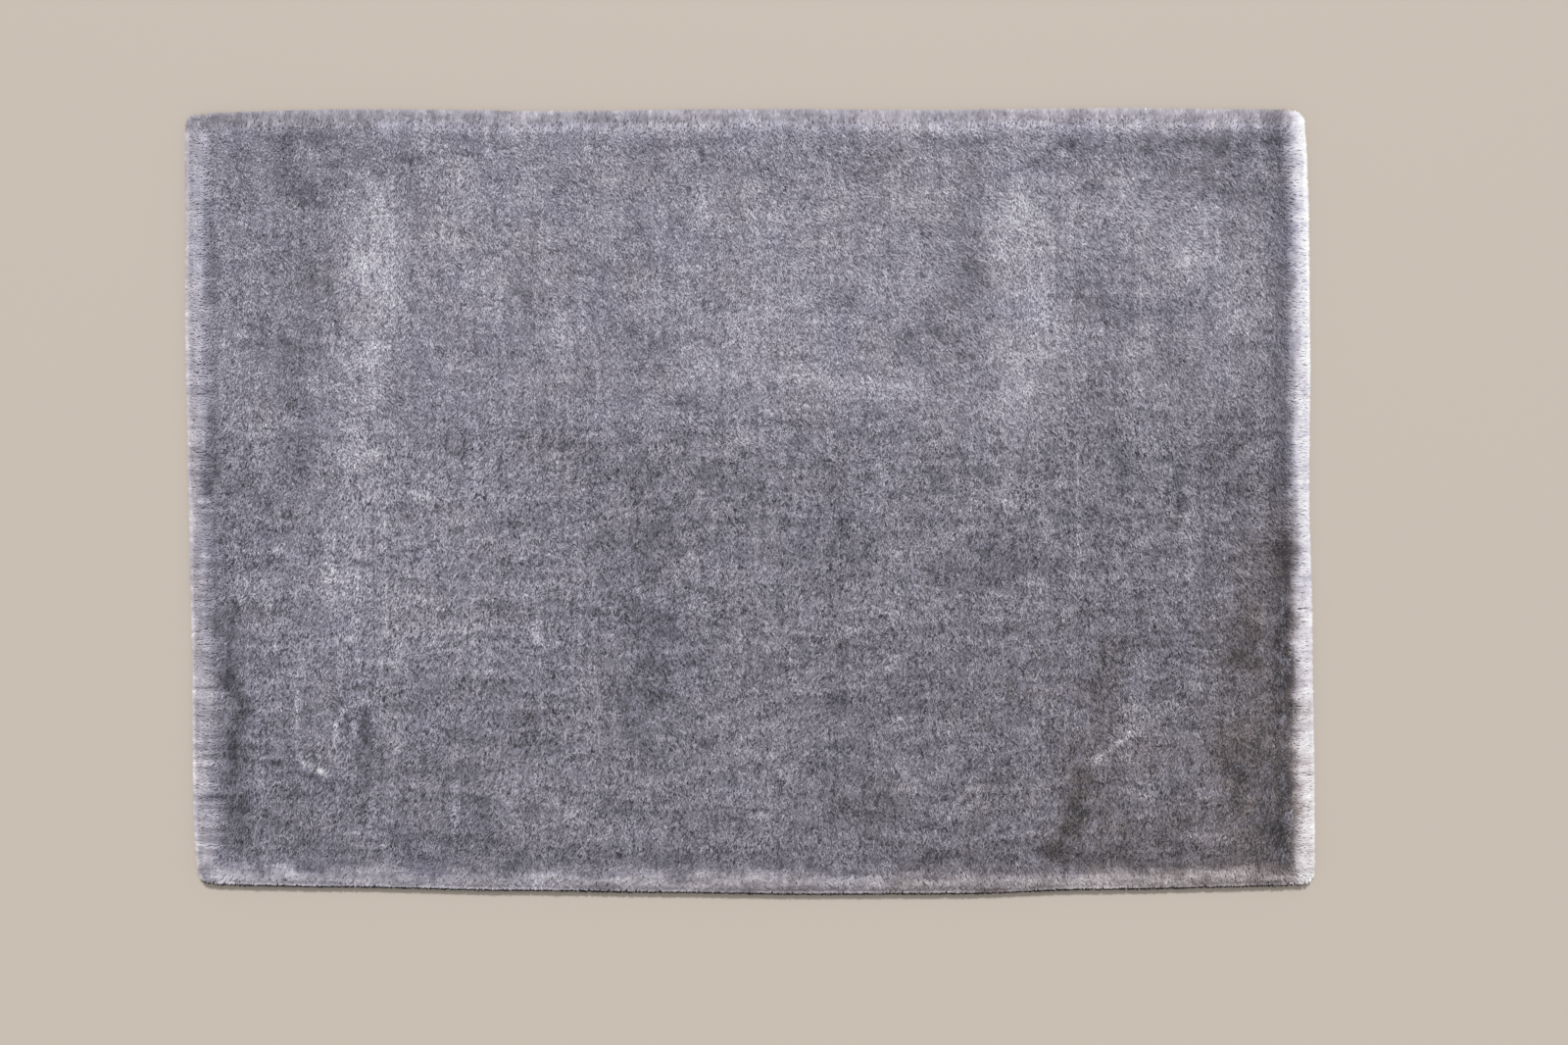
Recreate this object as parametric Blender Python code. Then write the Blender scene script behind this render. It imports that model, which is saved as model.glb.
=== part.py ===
"""Shag rug: one piece of deep pile cloth lying flat, as a closed solid.

The solid reaches as far as the pile does. Its underside is flat, its top follows the pile's
surface, and its shoulders roll over the edges of the cloth. Units are metres, +X runs along
the rug's long side, +Y towards its back edge and +Z up from the face it lies on.
"""

import math
from typing import NamedTuple

import bmesh
import bpy

RUG_LENGTH = 2.300
RUG_WIDTH = 1.600
PILE_HEIGHT = 0.028

SHOULDER = 0.052  # how far in from the outline the pile reaches its full height
LIP_HEIGHT = 0.009  # height at which the pile reaches furthest out
LIP_FALL = 0.0045  # height of the ring between the lip and the floor
LIP_TUCK = 0.0015
SOLE_TUCK = 0.006  # how far the flat underside stops short of the outline
CORNER_ZONE = 0.030  # square at each corner that is bent into a round one

EDGE_STATIONS = (0.0, 0.004, 0.011, 0.021, 0.034, 0.048, 0.065, 0.085)
FIELD_CELL = 0.045

ROLL_HEIGHT = 0.0008  # slow unevenness of the cloth and pile
ROLL_LENGTH_X = 0.62
ROLL_LENGTH_Y = 0.47

PILE_COLOUR = (0.215, 0.208, 0.250, 1.0)
PILE_ROUGHNESS = 0.95
SMOOTH_ANGLE = math.radians(50)


class Drift(NamedTuple):
    """How far an edge lies from the true rectangle, at a place along it."""

    along: float
    shift: float


LEFT_DRIFT = (
    Drift(along=-0.80, shift=0.016),
    Drift(along=-0.60, shift=0.009),
    Drift(along=-0.36, shift=0.008),
    Drift(along=-0.10, shift=0.002),
    Drift(along=0.12, shift=-0.002),
    Drift(along=0.34, shift=-0.007),
    Drift(along=0.55, shift=-0.006),
    Drift(along=0.80, shift=-0.009),
)
RIGHT_DRIFT = (
    Drift(along=-0.80, shift=0.009),
    Drift(along=-0.60, shift=0.007),
    Drift(along=-0.30, shift=0.003),
    Drift(along=0.02, shift=-0.004),
    Drift(along=0.25, shift=-0.002),
    Drift(along=0.55, shift=-0.004),
    Drift(along=0.80, shift=-0.011),
)
FRONT_DRIFT = (
    Drift(along=-1.15, shift=0.012),
    Drift(along=-0.85, shift=0.008),
    Drift(along=-0.50, shift=0.001),
    Drift(along=-0.20, shift=-0.003),
    Drift(along=0.10, shift=-0.007),
    Drift(along=0.42, shift=-0.006),
    Drift(along=0.70, shift=0.003),
    Drift(along=1.15, shift=0.011),
)
BACK_DRIFT = (
    Drift(along=-1.15, shift=-0.007),
    Drift(along=-0.80, shift=0.001),
    Drift(along=-0.40, shift=-0.003),
    Drift(along=0.05, shift=0.001),
    Drift(along=0.35, shift=-0.001),
    Drift(along=0.75, shift=0.003),
    Drift(along=1.15, shift=0.000),
)


class Trough(NamedTuple):
    """The parting where the splayed edge pile meets the standing pile, along one side."""

    inset: float
    half_width: float
    depth: float


LEFT_TROUGH = Trough(inset=0.072, half_width=0.026, depth=0.0038)
RIGHT_TROUGH = Trough(inset=0.062, half_width=0.024, depth=0.0042)
FRONT_TROUGH = Trough(inset=0.070, half_width=0.030, depth=0.0020)
BACK_TROUGH = Trough(inset=0.066, half_width=0.022, depth=0.0030)


class Crease(NamedTuple):
    """A soft hollow pressed into the pile from one place to another."""

    name: str
    start: tuple
    end: tuple
    half_width: float
    depth: float


CREASES = (
    Crease("front_right_fold", (0.575, -0.700), (0.730, -0.480), 0.060, 0.0040),
    Crease("front_right_branch", (0.790, -0.530), (1.000, -0.470), 0.050, 0.0025),
    Crease("front_right_corner", (1.010, -0.330), (1.075, -0.640), 0.070, 0.0030),
    Crease("left_track", (-0.800, 0.640), (-0.840, -0.200), 0.085, 0.0022),
    Crease("right_track", (0.570, 0.640), (0.560, 0.130), 0.080, 0.0020),
    Crease("middle_track", (-0.235, 0.080), (-0.230, -0.560), 0.070, 0.0026),
    Crease("near_middle_track", (0.170, 0.080), (0.160, -0.060), 0.055, 0.0022),
    Crease("middle_cross_track", (0.130, -0.440), (0.330, -0.450), 0.055, 0.0022),
    Crease("back_left_hollow", (-0.960, 0.690), (-0.920, 0.670), 0.070, 0.0030),
    Crease("back_right_hollow", (0.300, 0.330), (0.400, 0.345), 0.055, 0.0026),
    Crease("left_front_trough", (-1.060, -0.220), (-1.045, -0.620), 0.050, 0.0030),
)


def eased(step):
    """Smooth 0 to 1 ramp of a 0 to 1 step."""
    return step * step * (3.0 - 2.0 * step)


def bell(offset):
    """1 at 0, falling smoothly to 0 at 1 and beyond."""
    if offset >= 1.0:
        return 0.0
    return 0.5 + 0.5 * math.cos(math.pi * offset)


def drifted(table, along):
    """The shift of an edge at a place along it, eased between the table's rows."""
    if along <= table[0].along:
        return table[0].shift
    for near, far in zip(table, table[1:]):
        if along <= far.along:
            step = (along - near.along) / (far.along - near.along)
            return near.shift + (far.shift - near.shift) * eased(step)
    return table[-1].shift


def stations(half):
    """Grid lines across one direction, close together at the edges and even between them."""
    inner = half - EDGE_STATIONS[-1]
    cells = round(2.0 * inner / FIELD_CELL)
    middle = [-inner + 2.0 * inner * i / cells for i in range(1, cells)]
    low = [-half + inset for inset in EDGE_STATIONS]
    return low + middle + [-place for place in reversed(low)]


def rounded(x, y):
    """Bends the corner squares of the rectangle into round corners."""
    over_x = abs(x) - (RUG_LENGTH / 2 - CORNER_ZONE)
    over_y = abs(y) - (RUG_WIDTH / 2 - CORNER_ZONE)
    if over_x <= 0.0 or over_y <= 0.0:
        return x, y
    pull = max(over_x, over_y) / math.hypot(over_x, over_y)
    return (
        math.copysign(RUG_LENGTH / 2 - CORNER_ZONE + over_x * pull, x),
        math.copysign(RUG_WIDTH / 2 - CORNER_ZONE + over_y * pull, y),
    )


def laid(x, y):
    """Shifts a point of the true rectangle to where the uneven edges put it."""
    across_x = x / RUG_LENGTH + 0.5
    across_y = y / RUG_WIDTH + 0.5
    shift_x = (1.0 - across_x) * drifted(LEFT_DRIFT, y) + across_x * drifted(RIGHT_DRIFT, y)
    shift_y = (1.0 - across_y) * drifted(FRONT_DRIFT, x) + across_y * drifted(BACK_DRIFT, x)
    return x + shift_x, y + shift_y


def segment_distance(x, y, start, end):
    """Distance in plan from a point to the line between two others."""
    run_x = end[0] - start[0]
    run_y = end[1] - start[1]
    along = ((x - start[0]) * run_x + (y - start[1]) * run_y) / (run_x**2 + run_y**2)
    along = min(1.0, max(0.0, along))
    return math.hypot(x - start[0] - along * run_x, y - start[1] - along * run_y)


def trough_depth(trough, inset):
    """Depth of one side's parting at a distance in from that side."""
    return trough.depth * bell(abs(inset - trough.inset) / trough.half_width)


def pile_top(x, y):
    """Height of the pile's surface over a point of the true rectangle."""
    insets = {
        LEFT_TROUGH: RUG_LENGTH / 2 + x,
        RIGHT_TROUGH: RUG_LENGTH / 2 - x,
        FRONT_TROUGH: RUG_WIDTH / 2 + y,
        BACK_TROUGH: RUG_WIDTH / 2 - y,
    }
    inset = min(insets.values())
    shoulder = min(1.0, inset / SHOULDER)
    rise = math.sqrt(max(0.0, 1.0 - (1.0 - shoulder) ** 2))
    parting = max(trough_depth(trough, reach) for trough, reach in insets.items())
    pressed = sum(
        crease.depth * bell(segment_distance(x, y, crease.start, crease.end) / crease.half_width)
        for crease in CREASES
    )
    roll = ROLL_HEIGHT * (
        math.sin(2.0 * math.pi * (x / ROLL_LENGTH_X + 0.31 * y / ROLL_LENGTH_Y))
        * math.cos(2.0 * math.pi * (y / ROLL_LENGTH_Y - 0.27 * x / ROLL_LENGTH_X))
    )
    sunk = (parting + pressed - roll + ROLL_HEIGHT) * eased(shoulder)
    return LIP_HEIGHT + (PILE_HEIGHT - LIP_HEIGHT) * rise - sunk


def shape_top(mesh):
    """A grid whose lines follow the stations, bent to the outline and the pile's surface."""
    lines_x = stations(RUG_LENGTH / 2)
    lines_y = stations(RUG_WIDTH / 2)
    bmesh.ops.create_grid(
        mesh, x_segments=len(lines_x) - 1, y_segments=len(lines_y) - 1, size=0.5
    )
    for vert in mesh.verts:
        x = lines_x[round((vert.co.x + 0.5) * (len(lines_x) - 1))]
        y = lines_y[round((vert.co.y + 0.5) * (len(lines_y) - 1))]
        vert.co = (*laid(*rounded(x, y)), pile_top(x, y))


def outline_edges(mesh):
    """The open edges that run round the outline."""
    return [edge for edge in mesh.edges if edge.is_boundary]


def extrude_ring(mesh, tuck, height):
    """Extrudes the open outline to a height, drawn in by the tuck on every side."""
    grown = bmesh.ops.extrude_edge_only(mesh, edges=outline_edges(mesh))["geom"]
    for vert in (item for item in grown if isinstance(item, bmesh.types.BMVert)):
        vert.co.x *= 1.0 - tuck / (RUG_LENGTH / 2)
        vert.co.y *= 1.0 - tuck / (RUG_WIDTH / 2)
        vert.co.z = height


def shape_underside(mesh):
    """Turns the outline under to the floor and closes the flat underside."""
    extrude_ring(mesh, LIP_TUCK, LIP_FALL)
    extrude_ring(mesh, SOLE_TUCK - LIP_TUCK, 0.0)
    bmesh.ops.edgeloop_fill(mesh, edges=outline_edges(mesh))


def centre(mesh):
    """Moves the mesh in plan so that its box is centred on the origin."""
    lows = [min(vert.co[axis] for vert in mesh.verts) for axis in (0, 1)]
    highs = [max(vert.co[axis] for vert in mesh.verts) for axis in (0, 1)]
    shift = (-(lows[0] + highs[0]) / 2, -(lows[1] + highs[1]) / 2, 0.0)
    bmesh.ops.translate(mesh, vec=shift, verts=mesh.verts)


def pile_material():
    """Matte slate-lilac pile."""
    material = bpy.data.materials.new("plush_pile")
    material.use_nodes = True
    shader = material.node_tree.nodes["Principled BSDF"]
    shader.inputs["Base Color"].default_value = PILE_COLOUR
    shader.inputs["Roughness"].default_value = PILE_ROUGHNESS
    shader.inputs["Metallic"].default_value = 0.0
    return material


def build_pile_cloth(collection):
    """The rug's one piece: cloth and pile as a closed flat solid."""
    mesh = bmesh.new()
    shape_top(mesh)
    shape_underside(mesh)
    centre(mesh)
    bmesh.ops.recalc_face_normals(mesh, faces=mesh.faces)
    data = bpy.data.meshes.new("pile_cloth")
    mesh.to_mesh(data)
    mesh.free()
    data.shade_smooth()
    data.set_sharp_from_angle(angle=SMOOTH_ANGLE)
    data.materials.append(pile_material())
    collection.objects.link(bpy.data.objects.new("pile_cloth", data))


def main():
    for obj in list(bpy.data.objects):
        bpy.data.objects.remove(obj)
    rug = bpy.data.collections.new("shag_rug")
    bpy.context.scene.collection.children.link(rug)
    build_pile_cloth(rug)


main()
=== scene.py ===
"""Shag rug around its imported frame: ground cloth, dense under-pile and combed plush pile."""

import logging
import math
from collections.abc import Mapping, Sequence
from dataclasses import dataclass
from enum import Enum
from typing import NamedTuple

import bmesh
import bpy
import numpy as np
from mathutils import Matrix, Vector
from mathutils.bvhtree import BVHTree

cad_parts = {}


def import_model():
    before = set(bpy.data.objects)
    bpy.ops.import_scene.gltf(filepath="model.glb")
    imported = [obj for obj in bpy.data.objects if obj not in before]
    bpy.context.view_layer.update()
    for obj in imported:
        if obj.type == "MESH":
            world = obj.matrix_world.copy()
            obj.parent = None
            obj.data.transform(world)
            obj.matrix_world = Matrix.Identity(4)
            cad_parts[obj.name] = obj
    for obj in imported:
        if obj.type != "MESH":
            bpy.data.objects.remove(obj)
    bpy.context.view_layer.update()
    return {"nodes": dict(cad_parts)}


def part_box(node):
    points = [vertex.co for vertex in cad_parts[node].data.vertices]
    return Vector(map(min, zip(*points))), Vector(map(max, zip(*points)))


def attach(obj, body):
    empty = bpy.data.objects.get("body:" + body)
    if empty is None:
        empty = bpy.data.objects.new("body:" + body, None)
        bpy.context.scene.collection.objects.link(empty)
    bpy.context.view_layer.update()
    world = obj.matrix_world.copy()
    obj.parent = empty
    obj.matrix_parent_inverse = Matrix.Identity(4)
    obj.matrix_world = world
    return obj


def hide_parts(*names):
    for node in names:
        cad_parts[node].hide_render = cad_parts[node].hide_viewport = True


Colour = tuple[float, float, float]
Spot = tuple[float, float]
Values = np.ndarray  # one value, or one row of values, for each place

LOG = logging.getLogger("shag_rug")
RUG_NODE = "pile_cloth"
BODY = "root"
CARD_MAP = "OFBake"
CLOTH_INSET = 0.012  # how far in from the pile's outline the ground cloth ends
PLAN_REACH = 1.5  # how far from the middle the random patterns run
LEAST = 1e-9  # stands in for a length of nothing, so that a division holds
MOST_ALBEDO = 0.90
STUDIO_GAIN = 1.25  # how much lighter than its own colour a level matte surface looks here


# --- Shader maths ---


class Wire:
    """A node's output that can be used in an expression."""

    def __init__(self, board: "Board", end: bpy.types.NodeSocket) -> None:
        """Keeps the board that new nodes go on and the socket that holds the value."""
        self.board = board
        self.end = end

    def _maths(self, operation: str, first: object, second: object) -> "Wire":
        """Adds a Math node on two values."""
        return self.board.node("ShaderNodeMath", {"operation": operation}, {0: first, 1: second})

    def __add__(self, other: object) -> "Wire":
        """The sum of two values."""
        return self._maths("ADD", self, other)

    def __radd__(self, other: object) -> "Wire":
        """The sum, with this value second."""
        return self._maths("ADD", other, self)

    def __mul__(self, other: object) -> "Wire":
        """The product of two values."""
        return self._maths("MULTIPLY", self, other)

    def __rmul__(self, other: object) -> "Wire":
        """The product, with this value second."""
        return self._maths("MULTIPLY", other, self)


class Board:
    """A material and the nodes on it."""

    def __init__(self, name: str) -> None:
        """Makes a node material with only its Principled shader.

        Args:
            name: The material's name.
        """
        self.material = bpy.data.materials.new(name)
        self.material.use_nodes = True
        self.tree = self.material.node_tree
        self.shader = self.tree.nodes["Principled BSDF"]

    def node(
        self,
        kind: str,
        settings: Mapping[str, object] | None = None,
        sockets: Mapping[str | int, object] | None = None,
        output: str | int = 0,
    ) -> Wire:
        """Adds a node, sets it up and feeds its sockets.

        Args:
            kind: The node's type.
            settings: Its properties. "stops" holds a ramp's places and colours.
            sockets: Values or wires for its inputs, by name or number.
            output: The output that the result reads.

        Returns:
            The output as a wire.
        """
        made = self.tree.nodes.new(kind)
        for name, value in (settings or {}).items():
            if name == "stops":
                self._set_stops(made, value)
            else:
                setattr(made, name, value)
        for name, value in (sockets or {}).items():
            self.feed(made.inputs[name], value)
        return Wire(self, made.outputs[output])

    def _set_stops(self, ramp: bpy.types.Node, stops: Sequence[tuple[float, Colour]]) -> None:
        """Sets a ramp's stops.

        Args:
            ramp: The ramp's node.
            stops: Each stop's place and colour.
        """
        elements = ramp.color_ramp.elements
        while len(elements) < len(stops):
            elements.new(1.0)
        for element, (place, colour) in zip(elements, stops):
            element.position = place
            element.color = (*colour, 1.0)

    def feed(self, socket: bpy.types.NodeSocket, value: object) -> None:
        """Links a wire to an input, or sets the input's own value.

        Args:
            socket: The input.
            value: A wire, a number, a vector or a colour.
        """
        if isinstance(value, Wire):
            self.tree.links.new(value.end, socket)
        elif isinstance(value, tuple) and len(value) == 3 and socket.type == "RGBA":
            socket.default_value = (*value, 1.0)
        else:
            socket.default_value = value

    def blend(self, factor: object, first: object, second: object) -> Wire:
        """Mixes two colours by a factor."""
        colours = {0: factor, 6: first, 7: second}
        return self.node("ShaderNodeMix", {"data_type": "RGBA"}, colours, output=2)

    def dress(self, **sockets: object) -> bpy.types.Material:
        """Feeds the shader's inputs, with underscores for spaces in their names.

        Args:
            sockets: Values or wires by input name.

        Returns:
            The finished material.
        """
        for name, value in sockets.items():
            self.feed(self.shader.inputs[name.replace("_", " ")], value)
        return self.material


def from_screen(levels: Colour, gain: float = 1.0) -> Colour:
    """Turns a screen colour of 0 to 255 into the linear colour of a surface.

    Args:
        levels: Red, green and blue.
        gain: How much brighter the surface has to be than it looks in its own shade.

    Returns:
        The linear colour, at most as light as cloth can be.
    """
    part = np.array(levels, float) / 255.0
    linear = np.where(part <= 0.04045, part / 12.92, ((part + 0.055) / 1.055) ** 2.4)
    return tuple(float(x) for x in np.minimum(linear * gain, MOST_ALBEDO))


# --- Finishes ---


@dataclass(frozen=True)
class PlushFinish:
    """Pile yarn, as a card of colours read by shade along it and by warmth across it."""

    card: tuple[tuple[float, Colour, Colour], ...] = (  # each shade, cool and warm
        (0.00, (13, 13, 17), (15, 13, 13)),
        (0.15, (36, 36, 44), (41, 36, 36)),
        (0.30, (74, 73, 84), (80, 73, 73)),
        (0.40, (99, 98, 110), (106, 98, 98)),
        (0.51, (129, 127, 140), (134, 127, 128)),
        (0.60, (152, 150, 162), (157, 150, 150)),
        (0.70, (178, 176, 185), (182, 176, 175)),
        (0.85, (216, 215, 222), (219, 214, 212)),
        (1.00, (249, 248, 252), (251, 248, 246)),
    )
    gain: float = 1.55
    roughness: float = 0.80
    sheen: float = 0.30
    sheen_roughness: float = 0.5

    def material(self) -> bpy.types.Material:
        """Makes the yarn's material, which reads its place on the card from the piece's own map.

        Returns:
            The material.
        """
        board = Board("plush_yarn")
        place = board.node("ShaderNodeUVMap", {"uv_map": CARD_MAP})
        shade, warmth = (
            board.node("ShaderNodeSeparateXYZ", sockets={0: place}, output=axis) for axis in "XY"
        )
        cool, warm = (
            board.node("ShaderNodeValToRGB", {"stops": self._stops(column)}, {0: shade})
            for column in (1, 2)
        )
        return board.dress(
            Base_Color=board.blend(warmth, cool, warm),
            Roughness=self.roughness,
            Sheen_Weight=self.sheen,
            Sheen_Roughness=self.sheen_roughness,
        )

    def _stops(self, column: int) -> list[tuple[float, Colour]]:
        """A ramp's stops for one column of the card."""
        return [(row[0], from_screen(row[column], self.gain)) for row in self.card]


@dataclass(frozen=True)
class UnderPileFinish:
    """Packed lower pile, coloured darker than the yarn above as painted shade deep in the pile."""

    # Both colours are painted shade, darker than the yarn, for the depths of the pile between the strands.
    deep_shade: Colour = (96, 94, 105)
    high: Colour = (128, 126, 138)
    pale_left: Colour = (146, 143, 151)
    pale_right: Colour = (196, 194, 200)
    rim_left: Spot = (1.085, 1.130)  # where the pale rim begins and is whole, from the middle
    rim_right: Spot = (1.100, 1.136)
    gain: float = 1.3
    tuft: float = 0.007
    blotch: float = 0.09
    tuft_share: float = 0.7  # how much of the mottling comes from the tufts
    tuft_depth: float = 0.003

    def material(self) -> bpy.types.Material:
        """Makes tuft-sized mottling of painted shade over slow blotches, with pale rims and a bump of the
        tufts.

        Returns:
            The material.
        """
        board = Board("under_pile_yarn")
        place = board.node("ShaderNodeTexCoord", output="Object")
        tufts, slow = (
            board.node(
                "ShaderNodeTexNoise",
                sockets={"Vector": place, "Scale": 1.0 / size, "Detail": detail},
            )
            for size, detail in ((self.tuft, 3.0), (self.blotch, 2.0))
        )
        colour = board.blend(
            tufts * self.tuft_share + slow * (1 - self.tuft_share),
            from_screen(self.deep_shade, self.gain),
            from_screen(self.high, self.gain),
        )
        along = board.node("ShaderNodeSeparateXYZ", sockets={0: place}, output="X")
        rims = ((-1, self.pale_left, self.rim_left), (1, self.pale_right, self.rim_right))
        for way, pale, (begin, whole) in rims:
            share = board.node("ShaderNodeMapRange", sockets={0: along * way, 1: begin, 2: whole})
            colour = board.blend(share, colour, from_screen(pale, self.gain))
        bump = board.node(
            "ShaderNodeBump",
            sockets={"Height": tufts, "Strength": 0.8, "Distance": self.tuft_depth},
        )
        return board.dress(Base_Color=colour, Roughness=0.95, Normal=bump)


@dataclass(frozen=True)
class GroundClothFinish:
    """Knitted ground cloth in undyed yarn."""

    yarn: Colour = (176, 170, 168)
    # Painted shadow between the knit's loops.
    shadow: Colour = (128, 122, 122)
    wale: float = 0.0026
    loop_depth: float = 0.0008
    rows: tuple[tuple[str, float, float], ...] = (  # way, scale for one wale, and waver
        ("X", 0.31, 0.6),
        ("Y", 0.42, 0.8),
    )

    def material(self) -> bpy.types.Material:
        """Makes rows of knit, the yarn with painted shadow between its loops, and a bump of the loops.

        Returns:
            The material.
        """
        board = Board("ground_cloth_knit")
        place = board.node("ShaderNodeTexCoord", output="Object")
        wales, courses = (
            board.node(
                "ShaderNodeTexWave",
                {"wave_type": "BANDS", "bands_direction": way},
                {"Vector": place, "Scale": scale / self.wale, "Distortion": waver, "Detail": 1.0},
            )
            for way, scale, waver in self.rows
        )
        knit = wales * courses
        colour = board.blend(knit, from_screen(self.shadow), from_screen(self.yarn))
        bump = board.node(
            "ShaderNodeBump", sockets={"Height": knit, "Strength": 0.6, "Distance": self.loop_depth}
        )
        return board.dress(Base_Color=colour, Roughness=0.9, Normal=bump)


@dataclass(frozen=True)
class FloorFinish:
    """Plain pale floor."""

    colour: Colour = (200, 189, 177)

    def material(self) -> bpy.types.Material:
        """An even matte floor."""
        colour = from_screen(self.colour, 1.0 / STUDIO_GAIN)
        return Board("pale_floor").dress(Base_Color=colour, Roughness=0.7)


# --- The rug's form, read from the frame ---


def eased(share: Values) -> Values:
    """A share from 0 to 1, slowed at both ends."""
    return share * share * (3 - 2 * share)


def between(grid: Values, i: Values, j: Values, s: Values, t: Values) -> Values:
    """Values between a grid's points.

    Args:
        grid: Values at the points.
        i: The point before each place, by its number along the grid.
        j: The same across it.
        s: How far on to the next point each place lies, as a share.
        t: The same across.

    Returns:
        One value for each place.
    """
    near = grid[i, j] * (1 - t) + grid[i, j + 1] * t
    far = grid[i + 1, j] * (1 - t) + grid[i + 1, j + 1] * t
    return near * (1 - s) + far * s


@dataclass(frozen=True)
class PlanMap:
    """Values on an even grid over the rug's plan, from its low corner on."""

    values: Values
    low: Spot
    cell: float

    def at(self, x: Values, y: Values) -> Values:
        """Values between the grid's points.

        Args:
            x: Places along the rug.
            y: Places across the rug.

        Returns:
            One value for each place.
        """
        across, up = (
            np.clip((place - low) / self.cell, 0, count - 1.001)  # just inside the last point
            for place, low, count in zip((x, y), self.low, self.values.shape)
        )
        i, j = across.astype(int), up.astype(int)
        return between(self.values, i, j, across - i, up - j)


@dataclass(frozen=True)
class PlanNoise:
    """Smooth random values over the plan, the same each run, with a spread of about one."""

    seed: int
    cell: float
    stretch: float = 1.0  # how much longer the blotches are across the rug than along it
    turn: float = 0.0  # how far the blotches are turned, towards the front right

    LATTICE_SPREAD = 1.3  # easing between the points brings it down to about one

    def at(self, x: Values, y: Values) -> Values:
        """Noise at each place.

        Args:
            x: Places along the rug.
            y: Places across the rug.

        Returns:
            One value for each place.
        """
        rng = np.random.default_rng(self.seed)
        long = self.cell * self.stretch
        counts = [int(2 * PLAN_REACH / size) + 3 for size in (self.cell, long)]
        lattice = rng.normal(0, self.LATTICE_SPREAD, counts)
        cos, sin = math.cos(self.turn), math.sin(self.turn)
        across = (cos * x + sin * y + PLAN_REACH) / self.cell
        up = (cos * y - sin * x + PLAN_REACH) / long
        i, j = np.floor(across).astype(int), np.floor(up).astype(int)
        return between(lattice, i, j, eased(across - i), eased(up - j))


class Side(Enum):
    """The rug's sides, by the way out of the rug."""

    LEFT = (-1.0, 0.0)
    RIGHT = (1.0, 0.0)
    FRONT = (0.0, -1.0)
    BACK = (0.0, 1.0)

    def along(self, x: object, y: object) -> object:
        """Whichever of two values runs along the side."""
        return y if self.value[0] else x


class RugForm:
    """Where the frame's rug has its edges and how high its pile reaches."""

    LIP = 0.0088  # the height at which the outline is measured
    EDGE_STOPS = 120  # how many places a side is measured at
    EDGE_MARGIN = 0.012  # how far past a corner's curve a side's line begins
    HEIGHT_CELL = 0.009
    CORNER = 0.030  # the corners' radius
    TURN = 0.090  # how far in the way out starts to turn round a corner

    def __init__(self, node: bpy.types.Object) -> None:
        """Measures the node's own mesh with rays.

        Args:
            node: The frame's rug.
        """
        mesh = node.data
        self.tree = BVHTree.FromPolygons(
            [vert.co for vert in mesh.vertices], [tuple(face.vertices) for face in mesh.polygons]
        )
        low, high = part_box(RUG_NODE)
        self.low: Spot = (low.x, low.y)
        self.high: Spot = (high.x, high.y)
        self.top = high.z
        self.lines = {side: self._edge_line(side) for side in Side}
        self.heights = self._height_map()

    def _edge_line(self, side: Side) -> tuple[Values, Values]:
        """Measures a side's line by rays from outside.

        Args:
            side: The side.

        Returns:
            Places along the side, and how far out its lip lies there.
        """
        axis = side.along(0, 1)
        margin = self.CORNER + self.EDGE_MARGIN
        along = np.linspace(self.low[axis] + margin, self.high[axis] - margin, self.EDGE_STOPS)
        inward = Vector((-side.value[0], -side.value[1], 0))
        found = []
        for place in along:
            start = Vector((0.0, 0.0, self.LIP)) - 2.0 * inward
            start[axis] = place
            found.append(abs(self.tree.ray_cast(start, inward)[0][1 - axis]))
        return along, np.array(found)

    def _height_map(self) -> PlanMap:
        """Measures the pile's surface by rays from above.

        Returns:
            Its height over the plan.
        """
        low = (self.low[0] - self.HEIGHT_CELL, self.low[1] - self.HEIGHT_CELL)
        counts = [int((self.high[k] - low[k]) / self.HEIGHT_CELL) + 3 for k in (0, 1)]
        values = np.zeros(counts)
        down = Vector((0, 0, -1))
        for i in range(counts[0]):
            for j in range(counts[1]):
                start = (low[0] + i * self.HEIGHT_CELL, low[1] + j * self.HEIGHT_CELL, 1.0)
                hit = self.tree.ray_cast(Vector(start), down)[0]
                values[i, j] = hit.z if hit else 0.0
        return PlanMap(values, low, self.HEIGHT_CELL)

    def insets(self, x: Values, y: Values) -> dict[Side, Values]:
        """How far each place lies in from each side.

        Args:
            x: Places along the rug.
            y: Places across the rug.

        Returns:
            One distance for each place, by side.
        """
        return {
            side: np.interp(side.along(x, y), *self.lines[side])
            - (side.value[0] * x + side.value[1] * y)
            for side in Side
        }

    def inset(self, x: Values, y: Values) -> Values:
        """How far each place lies in from the outline, with its round corners.

        Args:
            x: Places along the rug.
            y: Places across the rug.

        Returns:
            One distance for each place.
        """
        ins = self.insets(x, y)
        a = np.minimum(ins[Side.LEFT], ins[Side.RIGHT])
        b = np.minimum(ins[Side.FRONT], ins[Side.BACK])
        corner = self.CORNER - np.hypot(self.CORNER - a, self.CORNER - b)
        return np.where((a < self.CORNER) & (b < self.CORNER), corner, np.minimum(a, b))

    def outward(self, x: Values, y: Values) -> Values:
        """The way to the nearest edge, turning smoothly round the corners.

        Args:
            x: Places along the rug.
            y: Places across the rug.

        Returns:
            Rows of x and y, each of length one.
        """
        ins = self.insets(x, y)
        pull = sum(
            np.maximum(self.TURN - ins[side], 1e-5)[:, None] * np.array(side.value)
            for side in Side
        )
        return pull / np.maximum(np.linalg.norm(pull, axis=1), LEAST)[:, None]


# --- Tone and lie of the pile ---


BROAD_MARK = 0.05  # the half width at which a mark's edge strays in full
MOST_STRAY = 1.2


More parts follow.
